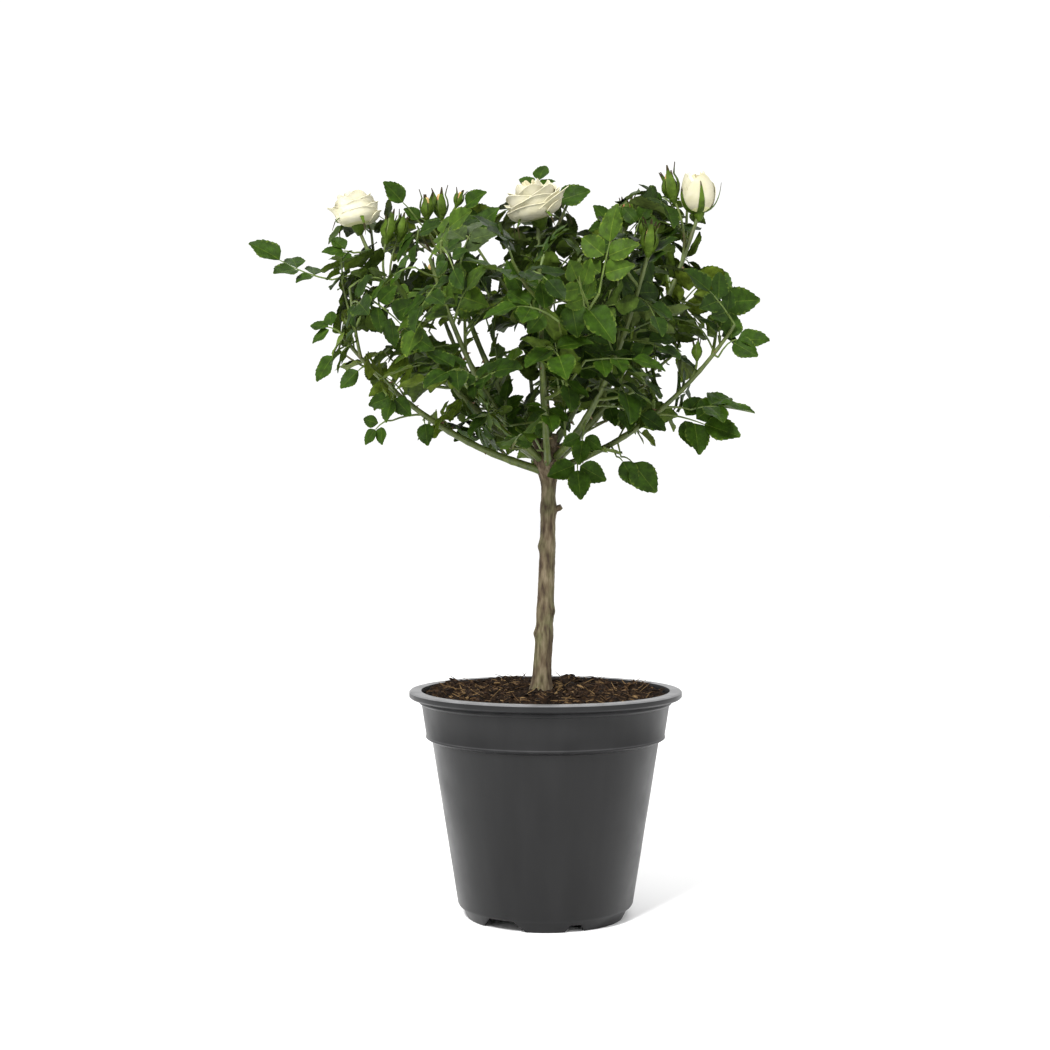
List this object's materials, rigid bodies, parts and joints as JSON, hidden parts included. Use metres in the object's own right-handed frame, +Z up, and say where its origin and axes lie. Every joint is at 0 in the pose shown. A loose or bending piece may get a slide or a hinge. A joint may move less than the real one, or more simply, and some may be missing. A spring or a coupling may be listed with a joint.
{
  "type": "potted standard rose",
  "caption": "Standard rose in a round nursery pot: one bare stem carries a grafted bushy crown of compound leaves with cream-white blooms and buds.",
  "frame": {"origin": "centre of the pot's foot ring, on the plane that its feet stand on", "axes": "+Z up along the pot's axis, +X to the viewer's right, +Y away from the viewer"},
  "size_m": [0.363, 0.2886, 0.5212],
  "materials": {
    "pot": "satin moulded",
    "soil": "rough potting mix",
    "bark": "matt bark",
    "bough": "green bark",
    "foliage": "satin leaf"
  },
  "bodies": {
    "root": {"pot": "pot", "soil": "soil", "trunk": "bark", "bough_left_low": "bough", "bough_left_high": "bough", "bough_left_inner": "bough", "bough_centre": "bough", "bough_right_high": "bough", "bough_right_low": "bough", "bough_right_inner": "bough", "bough_back_left": "bough", "bough_back": "bough", "bough_back_low": "bough", "bough_back_right": "bough", "bough_front_left": "bough", "bough_front": "bough", "bough_front_right": "bough", "foliage_left_low": "foliage", "foliage_left_high": "foliage", "foliage_left_inner": "foliage", "foliage_centre": "foliage", "foliage_right_high": "foliage", "foliage_right_low": "foliage", "foliage_right_inner": "foliage", "foliage_back_left": "foliage", "foliage_back": "foliage", "foliage_back_low": "foliage", "foliage_back_right": "foliage", "foliage_front_left": "foliage", "foliage_front": "foliage", "foliage_front_right": "foliage"}
  },
  "joints": []
}
